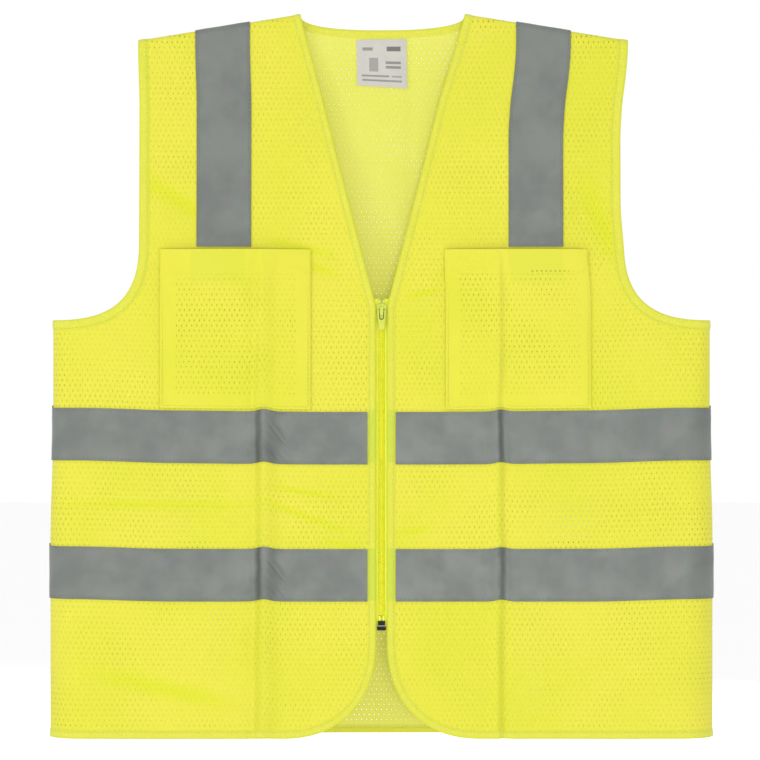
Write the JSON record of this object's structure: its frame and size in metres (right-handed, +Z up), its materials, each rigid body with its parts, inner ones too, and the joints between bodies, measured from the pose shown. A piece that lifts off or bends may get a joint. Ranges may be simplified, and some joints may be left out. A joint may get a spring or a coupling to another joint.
{
  "type": "high visibility vest",
  "caption": "Sleeveless mesh safety vest that zips up the front, with reflective tapes over the shoulders and round the waist, and patch pockets on the chest.",
  "frame": {"origin": "on the centre line, midway between front and back, at the middle height of the shoulder line, where a hanger or a pair of shoulders carries the vest", "axes": "+Z up, +X towards the wearer's left, -Y out of the front, so the back panel faces +Y"},
  "size_m": [0.6056, 0.0548, 0.6639],
  "materials": {
    "mesh_cloth": "fluorescent yellow warp-knit mesh with small diamond holes",
    "pocket_cloth": "fluorescent yellow mesh in two layers",
    "binding": "fluorescent yellow folded knit binding with one row of stitches",
    "reflective_tape": "grey retroreflective glass-bead tape with a fine even weave",
    "zip_tape": "fluorescent yellow woven zip tape",
    "zip_coil": "dyed yellow nylon coil",
    "painted_metal": "yellow-green paint over die-cast zinc",
    "black_plastic": "black moulded plastic",
    "label_cloth": "white printed satin label"
  },
  "bodies": {
    "vest": {"back_panel": "mesh_cloth", "right_front_panel": "mesh_cloth", "left_front_panel": "mesh_cloth", "right_chest_pocket": "pocket_cloth", "left_chest_pocket": "pocket_cloth", "right_armhole_binding_front": "binding", "right_armhole_binding_back": "binding", "left_armhole_binding_front": "binding", "left_armhole_binding_back": "binding", "back_neck_binding": "binding", "right_neck_binding": "binding", "left_neck_binding": "binding", "right_front_hem_binding": "binding", "left_front_hem_binding": "binding", "back_hem_binding": "binding", "right_shoulder_seam": "binding", "left_shoulder_seam": "binding", "right_side_seam": "binding", "left_side_seam": "binding", "right_shoulder_tape_front": "reflective_tape", "right_shoulder_tape_back": "reflective_tape", "left_shoulder_tape_front": "reflective_tape", "left_shoulder_tape_back": "reflective_tape", "right_upper_waist_tape": "reflective_tape", "right_lower_waist_tape": "reflective_tape", "left_upper_waist_tape": "reflective_tape", "left_lower_waist_tape": "reflective_tape", "back_upper_waist_tape": "reflective_tape", "back_lower_waist_tape": "reflective_tape", "care_label": "label_cloth"},
    "right_front": {"right_front_edge_panel": "mesh_cloth", "right_upper_tape_end": "reflective_tape", "right_lower_tape_end": "reflective_tape", "right_front_edge_binding": "binding", "right_zip_tape": "zip_tape", "right_zip_coil": "zip_coil", "right_top_stop": "painted_metal", "retainer_box": "black_plastic", "retainer_pin": "black_plastic"},
    "left_front": {"left_front_edge_panel": "mesh_cloth", "left_upper_tape_end": "reflective_tape", "left_lower_tape_end": "reflective_tape", "left_front_edge_binding": "binding", "left_zip_tape": "zip_tape", "left_zip_coil": "zip_coil", "left_top_stop": "painted_metal", "insertion_pin": "black_plastic"},
    "slider": {"zip_slider": "painted_metal"},
    "pull": {"zip_pull": "painted_metal"}
  },
  "joints": [
    {"name": "right_front_fold", "type": "hinge", "parent": "vest", "child": "right_front", "pos_m": [-0.0585, -0.01378, -0.255], "axis": [0, -0.0359, -0.9994], "range_deg": [0, 150]},
    {"name": "left_front_fold", "type": "hinge", "parent": "vest", "child": "left_front", "pos_m": [0.0585, -0.01378, -0.255], "axis": [0, 0.0359, 0.9994], "range_deg": [0, 150]},
    {"name": "zip_travel", "type": "slide", "parent": "right_front", "child": "slider", "axis": [0, -0.0359, -0.9994], "range_m": [0, 0.27]},
    {"name": "pull_swing", "type": "hinge", "parent": "slider", "child": "pull", "pos_m": [0, -0.0148, -0.2612], "axis": [-1, 0, 0], "range_deg": [0, 165]}
  ]
}
